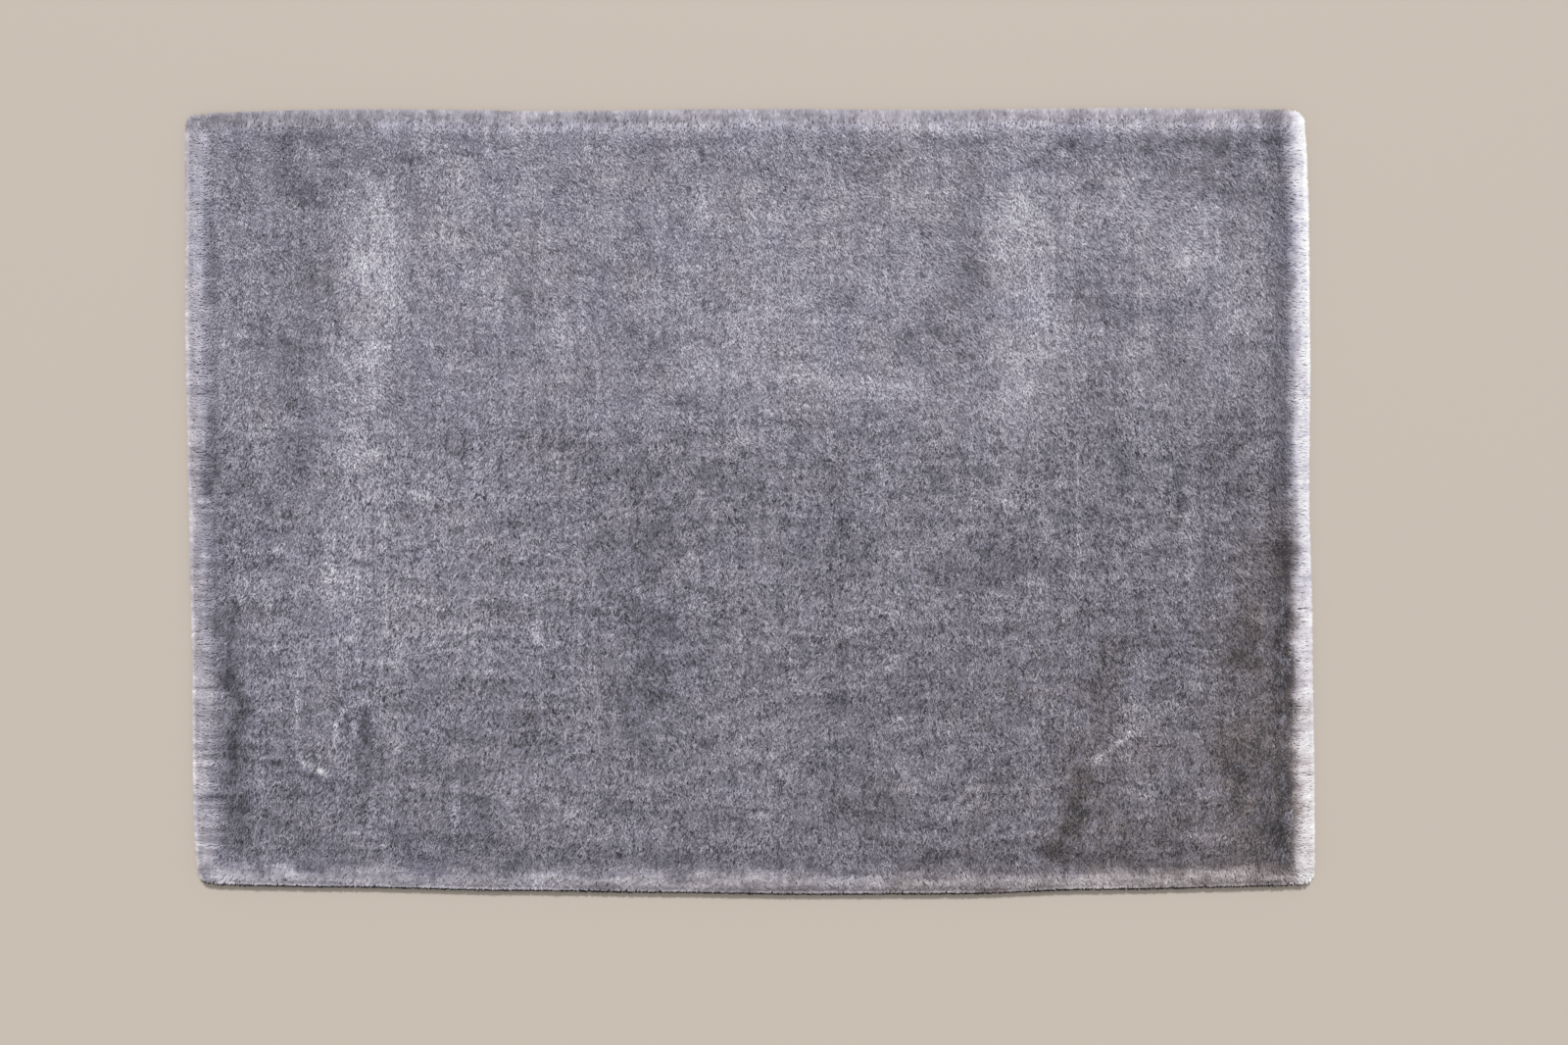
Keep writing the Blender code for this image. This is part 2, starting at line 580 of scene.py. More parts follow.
class Mark(NamedTuple):
    """A track, patch, crease or scuff in the nap, along a line from one place to another; the tracks,
    patches and creases are painted light and shade of the nap.
    """

    x: float
    y: float
    end_x: float
    end_y: float
    half_width: float
    # how much lighter; for the nap's tracks, patches and creases, painted light or shade
    light: float
    warm: float = 0.0

    def weight(self, x: Values, y: Values, stray: Values) -> Values:
        """1 on the mark's line, falling softly to 0 at its half width.

        Args:
            x: Places along the rug.
            y: Places across the rug.
            stray: How far a broad mark's edge strays at each place, along and across the rug.

        Returns:
            The mark's weight at each place.
        """
        share = min(self.half_width / BROAD_MARK, MOST_STRAY)
        x, y = x + share * stray[0] - self.x, y + share * stray[1] - self.y
        run = (self.end_x - self.x, self.end_y - self.y)
        length = max(run[0] ** 2 + run[1] ** 2, LEAST)
        along = np.clip((x * run[0] + y * run[1]) / length, 0.0, 1.0)
        gap = np.hypot(x - along * run[0], y - along * run[1])
        return 0.5 + 0.5 * np.cos(np.pi * np.minimum(gap / self.half_width, 1.0))


@dataclass(frozen=True)
class EdgeShape:
    """How the pile splays along a side."""

    meeting: Spot  # where its strands give way to the field's
    splay: float  # how far out the tips lie from roots at the very edge
    lip: float  # how high the outermost tips hang
    short: float  # how far inside the outline the outermost tips end
    tucked: float  # the share of outermost strands that fill the wall under the lip
    even: float  # how far the strands are lit as one smooth surface
    contrast: float  # how unlike each other neighbouring strands are
    carried: float  # how far back to its root a strand takes its tone from
    gap: float = 0.0  # painted contact shadow: how much darker the tucked strands are, in the gap over the floor
    wall: float = 0.8  # how high the tucked strands reach, as a share of the lip


# The ninth value, where given, is the gap: painted contact shadow on the tucked strands.
EDGE_SHAPES = {
    Side.LEFT: EdgeShape((0.030, 0.066), 0.026, 0.0095, -0.0025, 0.18, 0.90, 0.22, 0.10, 0.10),
    Side.RIGHT: EdgeShape((0.034, 0.060), 0.030, 0.0095, -0.0025, 0.18, 0.95, 0.16, 0.04),
    Side.FRONT: EdgeShape(
        (0.036, 0.062), 0.026, 0.0150, 0.0016, 0.70, 0.80, 0.55, 0.10, 0.33, 0.66
    ),
    Side.BACK: EdgeShape((0.014, 0.060), 0.022, 0.0095, -0.0035, 0.40, 0.82, 0.75, 0.15),
}


@dataclass(frozen=True)
class EdgeTone:
    """Splayed pile along a side, each pair of values for the side's two ends."""

    side: Side
    rim: Spot  # how much lighter the rim is than the field
    reach: Spot  # how far in the pale pile reaches
    hold: Spot  # the share of the reach that stays as light as the rim
    parting_shade: Spot  # painted shade of the trough inside it, where the pile parts: how much lighter it is than the field, mostly less than 0
    parting_inset: Spot
    parting_width: float
    warm: float  # how much warmer the rim is than the field
    brink: float  # how much lighter the outermost pile is than the rim; darker where less than 0, as along the front, painted shade where the pile rolls over towards the floor
    brink_width: float
    ragged: float  # how uneven its inner edge is from tuft to tuft


EDGE_TONES = (
    EdgeTone(
        Side.LEFT, (0.108, -0.002), (0.062, 0.034), (0.10, 0.0), (-0.03, -0.01), (0.082, 0.056),
        0.030, 0.4, 0.05, 0.016, 0.11,
    ),
    EdgeTone(
        Side.RIGHT, (0.332, 0.254), (0.067, 0.042), (0.30, 0.05), (-0.04, -0.15), (0.066, 0.063),
        0.036, -0.15, -0.04, 0.008, 0.06,
    ),
    EdgeTone(
        Side.FRONT, (0.126, 0.112), (0.051, 0.049), (0.45, 0.45), (-0.02, -0.02), (0.062, 0.062),
        0.022, 0.25, -0.09, 0.010, 0.07,
    ),
    EdgeTone(
        Side.BACK, (-0.074, -0.068), (0.040, 0.040), (0.60, 0.60), (0.03, 0.02), (0.040, 0.038),
        0.030, 0.28, 0.03, 0.012, 0.09,
    ),
)


def marks(*rows: tuple[int, ...]) -> tuple[Mark, ...]:
    """Turns rows of marks' fields, in whole thousandths, into marks."""
    return tuple(Mark(*(value / 1000 for value in row)) for row in rows)


# Painted light: tracks where the nap lies so that it catches more light.
NAP_LIT_TRACKS = marks(
    (-765, 590, -765, 480, 110, 68), (-735, 580, -730, 480, 35, 20), (-780, 440, -795, 120, 105, 65),
    (-755, 390, -760, 300, 45, 35), (-800, 100, -830, -200, 105, 55), (-862, -120, -864, -230, 26, 70),
    (-820, -300, -560, -310, 90, 30), (-1000, -180, -995, -330, 60, 30), (545, 610, 545, 560, 60, 80),
    (550, 540, 555, 230, 105, 60), (600, 520, 610, 330, 50, 25), (530, 240, 540, 200, 60, 30),
)

# Painted light: patches where the nap catches more light.
NAP_LIT_PATCHES = marks(
    (20, 560, 220, 520, 220, 20), (-50, 400, 120, 360, 100, 14), (-980, -160, -860, -180, 90, 16),
    (-750, -50, -720, -200, 240, 16), (-640, 0, -500, -160, 200, 20), (-200, -480, 80, -480, 140, 22),
    (0, 140, 120, 100, 120, 20), (-570, 640, -580, 320, 170, 18), (-60, 360, 120, 290, 170, 32),
    (80, 250, 330, 228, 40, 35), (-700, -20, -690, -280, 210, 26), (-520, 440, -450, 360, 60, 30),
    (-620, 430, -625, 360, 45, 35), (-360, -110, -300, -100, 55, 25), (-980, 60, -960, 20, 60, 25),
    (20, 60, 30, 40, 60, 20), (-390, 375, -370, 365, 55, 40), (-104, 620, -104, 540, 22, 40),
    (-490, 660, -440, 640, 60, 30), (-1020, 575, -940, 600, 30, 40), (-980, 480, -1000, 440, 70, 20),
    (-1070, 340, -1060, 250, 45, 30), (-550, 420, -600, 300, 90, 12), (760, 585, 900, 520, 70, 45),
    (860, 480, 1000, 480, 75, 32), (920, 590, 930, 580, 25, 50), (960, 380, 1040, 380, 60, 20),
    (780, 300, 785, 225, 32, 65), (978, 270, 980, 210, 24, 45), (605, 130, 620, 100, 35, 30),
    (320, 390, 325, 380, 26, 50), (570, 30, 572, 0, 30, 40), (280, 50, 300, 20, 50, 30),
    (560, -155, 590, -160, 28, 55), (900, 0, 903, -220, 36, 55), (920, -250, 925, -258, 22, 50),
    (805, -265, 790, -340, 36, 45), (790, -445, 815, -450, 36, 75), (840, -425, 885, -415, 20, 50),
    (995, -440, 1005, -448, 30, 80), (780, -540, 785, -590, 35, 40), (900, -690, 1020, -705, 40, 40),
    (910, -400, 925, -340, 30, 35), (300, -250, 305, -340, 45, 45), (230, -215, 290, -205, 40, 25),
    (325, -560, 335, -600, 40, 35), (590, -450, 640, -380, 40, 25), (560, -320, 590, -300, 40, 30),
    (20, -520, 80, -600, 120, 30), (-340, -520, -280, -560, 100, 30), (-355, -640, -345, -655, 30, 55),
    (-120, -560, -100, -540, 60, 30), (-340, -350, -338, -380, 30, 45), (-300, -110, -420, -200, 90, 18),
    (-495, -390, -492, -475, 26, 50), (-490, -550, -488, -665, 26, 55), (-430, -620, -380, -625, 30, 20),
    (-740, -440, -728, -500, 28, 50), (20, -150, 60, -170, 60, 20),
)

# Painted shade: where the nap lies away from the light, and in its partings, troughs, creases and dents.
NAP_SHADE_PATCHES = marks(
    (-1000, 690, 1050, 700, 70, -22), (-1000, 720, -780, 700, 90, -20), (620, 720, 1000, 720, 80, -14),
    (600, 410, 820, 400, 80, -22), (-350, -792, 500, -795, 32, -45), (-1000, -725, -450, -725, 60, -30),
    (550, -725, 1050, -725, 60, -32), (960, -725, 1050, -725, 50, -28), (970, 50, 970, -450, 110, -18),
    (550, -580, 870, -620, 90, -16), (-950, 700, -850, 200, 150, -15), (-960, 560, -950, 380, 200, -18),
    (900, 660, 1060, 640, 120, -16), (80, -20, 100, -90, 140, -24), (-950, 672, -910, 668, 52, -100),
    (-950, 630, -895, 625, 30, -80), (-900, 646, -800, 646, 14, -60), (-1090, 755, -860, 752, 40, -55),
    (-1010, 742, -850, 740, 13, -55), (-740, 718, -540, 708, 22, -45), (-580, 735, -550, 725, 22, -50),
    (-210, 733, 40, 735, 14, -60), (60, 735, 330, 730, 16, -40), (340, 738, 480, 728, 18, -80),
    (620, 735, 950, 732, 34, -80), (640, 742, 662, 735, 18, -90), (950, 738, 1075, 735, 36, -110),
    (990, 700, 1000, 690, 40, -60), (590, 695, 680, 678, 16, -70), (690, 638, 712, 640, 24, -95),
    (630, 632, 700, 636, 12, -50), (940, 650, 1020, 630, 60, -70), (1000, 550, 1040, 530, 40, -40),
    (445, 560, 440, 420, 50, -65), (320, 340, 362, 280, 38, -90), (360, 346, 440, 344, 12, -75),
    (695, 470, 705, 390, 40, -50), (700, 395, 860, 400, 30, -45), (740, 365, 765, 350, 32, -60),
    (840, 335, 870, 320, 40, -40), (690, 310, 700, 250, 50, -30), (455, 290, 475, 275, 30, -40),
    (850, 175, 875, 160, 28, -70), (940, 120, 945, 30, 28, -60), (878, 40, 876, -10, 22, -105),
    (755, 85, 775, 60, 35, -80), (380, 70, 390, 35, 36, -75), (475, 80, 500, 40, 32, -60),
    (610, 75, 615, 50, 28, -55), (178, 60, 180, -60, 32, -95), (170, -60, 180, -300, 36, -30),
    (200, 160, 215, 140, 40, -40), (215, -100, 225, -140, 40, -45), (160, 100, 400, 80, 60, -20),
    (490, -262, 515, -268, 26, -55), (440, -300, 450, -325, 26, -55), (400, -110, 600, -130, 45, -35),
    (608, -128, 616, -132, 20, -60), (822, -110, 842, -85, 28, -80), (845, -388, 880, -380, 22, -80),
    (855, -500, 875, -505, 26, -50), (860, -620, 830, -690, 45, -50), (-950, 300, -915, 210, 55, -70),
    (-1060, 380, -900, 305, 22, -45), (-905, 480, -905, 360, 28, -35), (-918, 110, -916, 30, 42, -75),
    (-1040, 100, -1045, 30, 30, -40), (-1100, 600, -1100, 540, 22, -70), (-1100, 500, -1105, 420, 22, -70),
    (-1100, 200, -1100, 20, 22, -75), (-710, 640, -680, 630, 40, -40), (-640, 340, -610, 400, 45, -35),
    (-660, 270, -640, 250, 40, -35), (-560, 590, -540, 480, 40, -20), (-260, 470, -240, 420, 50, -40),
    (-220, 340, -190, 310, 50, -30), (-420, 200, -430, 140, 35, -35), (-130, 210, -60, 205, 24, -40),
    (-230, 80, -190, 65, 36, -85), (-340, 90, -80, 50, 45, -45), (-120, -10, -110, -30, 30, -60),
    (-190, -80, -150, -90, 30, -60), (-215, 20, -200, -480, 100, -40), (-240, -235, -170, -245, 36, -70),
    (-225, -270, -215, -310, 34, -85), (-270, -400, -190, -400, 42, -50), (-245, -430, -215, -480, 36, -80),
    (-440, -475, -590, -478, 18, -30), (-670, -400, -640, -400, 45, -40), (-550, -600, -545, -700, 32, -40),
    (-295, -600, -288, -605, 24, -55), (178, -400, 182, -430, 36, -100), (240, -415, 340, -422, 30, -70),
    (160, -560, 300, -640, 120, -45), (165, -610, 175, -640, 40, -40), (335, -660, 370, -658, 20, -60),
    (300, -730, 460, -728, 20, -70), (-210, -720, 60, -722, 20, -40), (-720, -692, -550, -690, 20, -55),
    (-488, -738, -472, -740, 18, -70), (-1000, -470, -900, -600, 110, -22),
    (-1030, -620, -990, -640, 32, -75), (-970, -665, -900, -680, 32, -50),
    (-790, -500, -792, -600, 26, -75), (-1072, -230, -1066, -380, 36, -160),
    (-1052, -400, -1050, -540, 40, -165), (-1050, -570, -1046, -700, 36, -130),
    (-1112, -748, -1110, -758, 22, -160),
)

# Painted shade, browner by the last column where given: the crease and turned nap near the front right.
BROWN_NAP_SHADE = marks(
    (1060, 300, 1060, -100, 130, -35, 60), (1070, -100, 1060, -720, 150, -60, 240),
    (1000, -500, 1080, -640, 90, -50, 360), (1090, -80, 1092, -420, 32, -95, 200),
    (1010, -320, 1030, -340, 44, -140, 500), (1015, -215, 1030, -262, 34, -70, 300),
    (1000, -520, 1005, -545, 50, -90, 400), (1090, -500, 1092, -740, 36, -105, 300),
    (615, -720, 640, -680, 46, -150, 500), (650, -640, 670, -570, 46, -140, 400),
    (655, -540, 650, -500, 50, -60, 200), (700, -480, 735, -430, 46, -75, 200),
    (670, -390, 740, -370, 40, -100, 240), (735, -340, 745, -290, 34, -60, 100),
    (660, -735, 760, -735, 36, -90, 300), (700, -650, 760, -690, 60, -50, 200),
    (740, -540, 765, -560, 30, -50),
)

SCUFFS = marks(
    (-848, -501, -844, -455, 8, 170), (-844, -455, -828, -423, 8, 200), (-828, -423, -781, -409, 7, 170),
    (-806, -458, -808, -472, 12, 300), (-786, -430, -785, -490, 16, -180),
    (-822, -440, -826, -490, 10, -80), (-919, -531, -880, -550, 7, 190), (-880, -550, -860, -560, 9, 340),
    (-930, -548, -880, -566, 8, -130), (-1024, -516, -925, -528, 6, 90), (-1020, -530, -930, -540, 8, -120),
    (-810, -560, -811, -570, 11, 160), (-860, -505, -861, -515, 12, 120), (-928, -300, -928, -500, 9, 80),
    (-730, 640, -729, 400, 6, 96), (-744, 120, -745, -60, 6, 96), (-745, -90, -744, -270, 9, 104),
    (-884, 260, -880, 10, 6, 80), (-985, 190, -984, 100, 9, 88), (-925, -350, -924, -520, 9, 72),
    (-836, -300, -838, -390, 12, 72), (-522, 620, -520, 550, 9, -96), (672, 110, 671, -110, 8, 104),
    (402, -95, 428, -58, 12, 96), (430, -55, 600, -46, 12, 80), (605, -50, 606, -85, 14, 72),
    (630, -155, 800, -156, 8, 56), (1000, -46, 1100, -48, 10, 72), (456, -565, 400, -660, 9, 120),
    (690, -535, 715, -525, 14, 128), (700, -530, 760, -492, 12, 128), (760, -492, 810, -458, 12, 112),
    (840, -420, 920, -345, 10, 72), (-605, -500, -604, -715, 8, 64), (-20, -234, -18, -360, 8, 72),
    (-1000, -104, -925, -106, 9, 96), (-1125, 2, -1105, 0, 9, 192), (-118, 716, -108, 700, 8, 96),
    (-100, 722, -96, 698, 9, -176), (632, 716, 642, 712, 12, 176), (-535, 712, -520, 690, 12, 96),
    (-100, -452, 150, -460, 8, 48), (-960, 570, -890, 575, 7, 80), (-980, 610, -860, 606, 7, -64),
    (-900, 705, -820, 712, 7, 80), (-860, 668, -760, 672, 7, 72), (-1085, -775, -1060, -776, 12, 176),
)

STREAKS = (  # how strong over the back and over the front, and the pattern
    (0.007, 0.007, PlanNoise(11, 0.080, 1.6)),
    (0.007, 0.006, PlanNoise(12, 0.018, 7.0)),
    (0.012, 0.015, PlanNoise(13, 0.100, 0.14)),
    (0.010, 0.013, PlanNoise(17, 0.007, 8.0)),
    (0.014, 0.023, PlanNoise(18, 0.050, 0.13)),
    (0.011, 0.023, PlanNoise(20, 0.028, 0.16)),
    (0.013, 0.014, PlanNoise(19, 0.009)),
    (0.015, 0.000, PlanNoise(34, 0.006, 4.0, 0.42)),
    (0.010, 0.000, PlanNoise(35, 0.015, 3.0, 0.60)),
    (0.000, 0.012, PlanNoise(36, 0.006, 4.0, -0.35)),
    (0.016, 0.014, PlanNoise(37, 0.0045, 24.0)),
    (0.009, 0.012, PlanNoise(38, 0.060, 0.08)),
)

MARKS = NAP_LIT_TRACKS + NAP_LIT_PATCHES + NAP_SHADE_PATCHES + BROWN_NAP_SHADE + SCUFFS


class Nap:
    """How light, how warm and which way the pile lies at each place."""

    CELL = 0.003
    FIELD = 0.476  # the shade of the open field
    BACK_LIFT = 0.042  # painted light: how much lighter its back part is, where the nap catches more of the light
    PALER_FROM = 0.09  # where the front half's pile starts to give way to the back's
    PALER_OVER = 0.16
    STRAY = ((0.008, 25, 0.060), (0.006, 27, 0.018))  # how far marks' edges wander, seed and cell
    BROKEN = 0.18  # how unevenly the marks show
    EDGE_WAVE = 0.09  # how unevenly the splayed pile reaches in
    CORNER_LIGHT = ((-0.030, -0.095), (0.032, 0.060))  # painted light and shade across the rug from how the nap lies: left and right, in front and behind
    CORNER_TURN = ((0.10, -0.42), (0.50, 0.42))
    CORNER_LEAN = ((0.0042, 0.0042), (0.0056, 0.0056))
    WARM = 0.07
    WARM_RIGHT = 0.06
    WARM_FRONT = 0.05
    WARM_CORNER = 0.80  # how much warmer the front right corner is
    MARGIN = 0.02  # how far past the rug the tone maps run

    def __init__(self, form: RugForm) -> None:
        """Draws the tone maps over the plan.

        Args:
            form: The rug's edges and heights.
        """
        self.form = form
        low = (form.low[0] - self.MARGIN, form.low[1] - self.MARGIN)
        counts = [int((form.high[k] + self.MARGIN - low[k]) / self.CELL) + 2 for k in (0, 1)]
        grid_x, grid_y = np.meshgrid(
            *(low[k] + self.CELL * np.arange(counts[k]) for k in (0, 1)), indexing="ij"
        )
        x, y = grid_x.ravel(), grid_y.ravel()
        self.light = PlanMap(self._light(x, y).reshape(counts), low, self.CELL)
        self.warm = PlanMap(self._warm(x, y).reshape(counts), low, self.CELL)

    def _shares(self, x: Values, y: Values) -> tuple[Values, Values]:
        """How far along the rug each place lies.

        Args:
            x: Places along the rug.
            y: Places across the rug.

        Returns:
            The share to the right and the share to the back, each from 0 to 1.
        """
        return tuple(
            np.clip((place - low) / (high - low), 0, 1)
            for place, low, high in zip((x, y), self.form.low, self.form.high)
        )

    def _corners(self, x: Values, y: Values, values: tuple[Spot, Spot]) -> Values:
        """Values that run evenly between the rug's four corners.

        Args:
            x: Places along the rug.
            y: Places across the rug.
            values: The corners' values, left and right, in front and behind.

        Returns:
            One value for each place.
        """
        right, back = self._shares(x, y)
        near, far = (row[0] * (1 - right) + row[1] * right for row in values)
        return near * (1 - back) + far * back

    def _stray(self, x: Values, y: Values) -> Values:
        """How far the marks' edges wander.

        Args:
            x: Places along the rug.
            y: Places across the rug.

        Returns:
            A row of ways along the rug and a row of ways across it.
        """
        slow, quick = (
            np.stack([reach * PlanNoise(seed + k, cell).at(x, y) for k in (0, 1)])
            for reach, seed, cell in self.STRAY
        )
        return slow + quick

    def backness(self, x: Values, y: Values) -> Values:
        """0 over the front half and 1 over the back part, whose pile is smoother and painted paler, for the
        light its nap catches.
        """
        wavy = y + 0.02 * PlanNoise(29, 0.12).at(x, y)
        return eased(np.clip((wavy - self.PALER_FROM) / self.PALER_OVER, 0, 1))

    def _light(self, x: Values, y: Values) -> Values:
        """The pile's lightness: the field, its streaks, its marks and its edges, with painted light and
        shade of the nap and its partings.

        Args:
            x: Places along the rug.
            y: Places across the rug.

        Returns:
            One shade for each place, from 0 to 1.
        """
        back = self.backness(x, y)
        # The corners' and the back part's lift are painted light and shade of the nap.
        light = self.FIELD + self._corners(x, y, self.CORNER_LIGHT) + self.BACK_LIFT * back
        for far, near, noise in STREAKS:
            light += (near + (far - near) * back) * noise.at(x, y)
        stray = self._stray(x, y)
        broken = np.clip(1.0 + self.BROKEN * PlanNoise(30, 0.028).at(x, y), 0.4, 1.6)
        # The nap's tracks, patches and creases add painted light and shade; the scuffs are marks in the
        # pile.
        for mark in MARKS:
            light += mark.light * mark.weight(x, y, stray) * broken
        pale, dark, _ = self._edges(x, y)
        return light + pale + dark

    def _edges(self, x: Values, y: Values) -> tuple[Values, Values, Values]:
        """How much the splayed pile lightens, the partings darken with painted shade and the rim warms each
        place.

        Args:
            x: Places along the rug.
            y: Places across the rug.

        Returns:
            The three, one value of each for each place.
        """
        pale, dark, warm = np.zeros(len(x)), np.zeros(len(x)), np.zeros(len(x))
        insets, shares = self.form.insets(x, y), self._shares(x, y)
        wave = 1.0 + self.EDGE_WAVE * PlanNoise(39, 0.050).at(x, y)
        wave = wave + self.EDGE_WAVE * PlanNoise(14, 0.020).at(x, y)
        tufts = PlanNoise(15, 0.007).at(x, y)
        for tone in EDGE_TONES:
            along = tone.side.along(*shares)
            inset = insets[tone.side]
            rim, reach, hold, parting_shade, parting_inset = (
                pair[0] * (1 - along) + pair[1] * along
                for pair in (tone.rim, tone.reach, tone.hold, tone.parting_shade, tone.parting_inset)
            )
            reach *= wave + tone.ragged * tufts
            share = 1 - eased(np.clip((inset / reach - hold) / (1 - hold), 0, 1))
            rim = rim * share + tone.brink * np.clip(1 - inset / tone.brink_width, 0, 1)
            warm = np.where(np.abs(rim) > np.abs(pale), tone.warm * share, warm)
            pale = np.where(np.abs(rim) > np.abs(pale), rim, pale)
            # The trough where the pile parts is painted with shade, darker than the field.
            gap = np.minimum(np.abs(inset - parting_inset) / tone.parting_width, 1)
            parting_shade = parting_shade * (0.5 + 0.5 * np.cos(np.pi * gap))
            dark = np.where(np.abs(parting_shade) > np.abs(dark), parting_shade, dark)
        return pale, dark, warm

    def _warm(self, x: Values, y: Values) -> Values:
        """The pile's warmth, from lilac at 0 to brown at 1, most in the front right corner.

        Args:
            x: Places along the rug.
            y: Places across the rug.

        Returns:
            One warmth for each place.
        """
        right, back = self._shares(x, y)
        warm = self.WARM + self.WARM_RIGHT * right**2
        warm += self.WARM_CORNER * right**2 * (1 - back) ** 2
        warm += self.WARM_FRONT * (1 - back)
        warm += 0.05 * PlanNoise(16, 0.07).at(x, y) + self._edges(x, y)[2]
        stray = self._stray(x, y)
        for mark in MARKS:
            if mark.warm:
                warm += mark.warm * mark.weight(x, y, stray)
        return np.clip(warm, 0.02, 0.98)

    def lean(self, x: Values, y: Values) -> Values:
        """How far and which way the pile's tips lie from its roots in the open field.

        Args:
            x: Places along the rug.
            y: Places across the rug.

        Returns:
            Rows of x and y.
        """
        turn = self._corners(x, y, self.CORNER_TURN)
        turn += 0.16 * PlanNoise(21, 0.16).at(x, y) + 0.12 * PlanNoise(22, 0.05).at(x, y)
        length = self._corners(x, y, self.CORNER_LEAN)
        return np.stack([np.sin(turn), -np.cos(turn)], 1) * length[:, None]


# --- Pile ---


def bent(root: Values, tip: Values, lift: float, spread: float, steps: int) -> Values:
    """Points along strands that rise from their roots and bend over to their tips.

    Args:
        root: Where each strand starts.
        tip: Where each strand ends.
        lift: The share of the rise that is made at the bend.
        spread: The share of the lean that is made at the bend.
        steps: How many points each strand has.

    Returns:
        An array of strands by steps by three.
    """
    bend = root + (tip - root) * np.array([spread, spread, lift])
    t = np.linspace(0, 1, steps)[None, :, None] ** 0.45  # brings the middle points nearer the tips
    return (1 - t) ** 2 * root[:, None] + 2 * t * (1 - t) * bend[:, None] + t**2 * tip[:, None]


def placed(name: str, data: bpy.types.ID) -> bpy.types.Object:
    """Puts a mesh, lamp or camera into the scene as an object.

    Args:
        name: The object's name.
        data: What it shows.

    Returns:
        The object.
    """
    made = bpy.data.objects.new(name, data)
    bpy.context.scene.collection.objects.link(made)
    return made


def strand_mesh(
    name: str, line: Values, half_width: Values, across: Values, card: Values
) -> bpy.types.Object:
    """Joins strands into one mesh of narrow blades.

    Args:
        name: The piece's name.
        line: Points along each strand, as strands by steps by three.
        half_width: Half of each blade's width at each step, where 0 makes a point.
        across: The way across each blade.
        card: Each point's shade and warmth, as strands by steps by two.

    Returns:
        The piece.
    """
    count, steps = line.shape[:2]
    side = across[:, None, :] * half_width[:, :, None]
    tint = np.array([0.0, 0.012])  # a blade is a little warmer along one side than the other
    verts, cards, rows, per = [], [], [], 0
    for k in range(steps):
        if half_width[:, k].any():
            verts += [line[:, k] - side[:, k], line[:, k] + side[:, k]]
            cards += [card[:, k] - tint, card[:, k] + tint]
        else:
            verts.append(line[:, k])
            cards.append(card[:, k])
        rows.append(tuple(range(per, len(verts))))
        per = len(verts)
    faces = []
    for low, high in zip(rows, rows[1:]):
        if len(low) == 2:
            faces.append((low[0], high[0], low[1]))
        if len(high) == 2:
            faces.append((low[-1], high[0], high[1]))
    corners = (np.array(faces)[None] + per * np.arange(count)[:, None, None]).reshape(-1)
    mesh = bpy.data.meshes.new(name)
    mesh.vertices.add(count * per)
    mesh.vertices.foreach_set("co", np.stack(verts, 1).astype(np.float32).ravel())
    mesh.loops.add(len(corners))
    mesh.loops.foreach_set("vertex_index", corners.astype(np.int32))
    mesh.polygons.add(len(corners) // 3)
    mesh.polygons.foreach_set("loop_start", np.arange(0, len(corners), 3, dtype=np.int32))
    mesh.update(calc_edges=True)
    layer = mesh.uv_layers.new(name=CARD_MAP)
    places = np.clip(np.stack(cards, 1).reshape(-1, 2)[corners], 0.01, 0.99)
    layer.uv.foreach_set("vector", places.astype(np.float32).ravel())
    mesh.shade_smooth()
    return placed(name, mesh)


def light_evenly(piece: bpy.types.Object, share: float) -> None:
    """Turns a piece's shading normals up, so that its blades are lit more alike.

    Args:
        piece: The piece, whose faces all look up.
        share: How far the normals turn, where 1 is straight up.
    """
    mesh = piece.data
    normals = np.empty(3 * len(mesh.vertices), np.float32)
    mesh.vertices.foreach_get("normal", normals)
    turned = (1 - share) * normals.reshape(-1, 3) + share * np.array([0.0, 0.0, 1.0])
    turned /= np.linalg.norm(turned, axis=1, keepdims=True)
    mesh.normals_split_custom_set_from_vertices(turned.tolist())


@dataclass
class Locks:
    """Small tufts that the strands gather into, on a jittered grid."""

    long_x: float
    long_y: float
    seed: int

    def nearest(self, x: Values, y: Values) -> tuple[Values, Values]:
        """Finds the lock that each place belongs to.

        Args:
            x: Places along the rug.
            y: Places across the rug.

        Returns:
            Each place's lock middle and the lock's own number.
        """
        wide, tall = (int(2 * PLAN_REACH / long) + 3 for long in (self.long_x, self.long_y))
        jitter = np.random.default_rng(self.seed).uniform(-0.42, 0.42, (wide, tall, 2))
        i0 = np.floor((x + PLAN_REACH) / self.long_x).astype(int)
        j0 = np.floor((y + PLAN_REACH) / self.long_y).astype(int)
        best = np.full(len(x), np.inf)
        middle = np.zeros((len(x), 2))
        number = np.zeros(len(x), int)
        for di in (-1, 0, 1):
            for dj in (-1, 0, 1):
                i, j = i0 + di, j0 + dj
                at_x = (i + 0.5 + jitter[i, j, 0]) * self.long_x - PLAN_REACH
                at_y = (j + 0.5 + jitter[i, j, 1]) * self.long_y - PLAN_REACH
                gap = np.hypot((x - at_x) / self.long_x, (y - at_y) / self.long_y)
                nearer = gap < best
                best = np.where(nearer, gap, best)
                middle[nearer] = np.stack([at_x, at_y], 1)[nearer]
                number = np.where(nearer, i * tall + j, number)
        return middle, number

    def draws(self, number: Values, seed: int, width: int) -> Values:
        """Random values that all strands of a lock share.

        Args:
            number: Each strand's lock.
            seed: The draws' seed.
            width: How many values each lock has.

        Returns:
            A row for each strand.
        """
        most = int(number.max()) + 1
        return np.random.default_rng(seed).normal(0, 1, (most, width))[number]


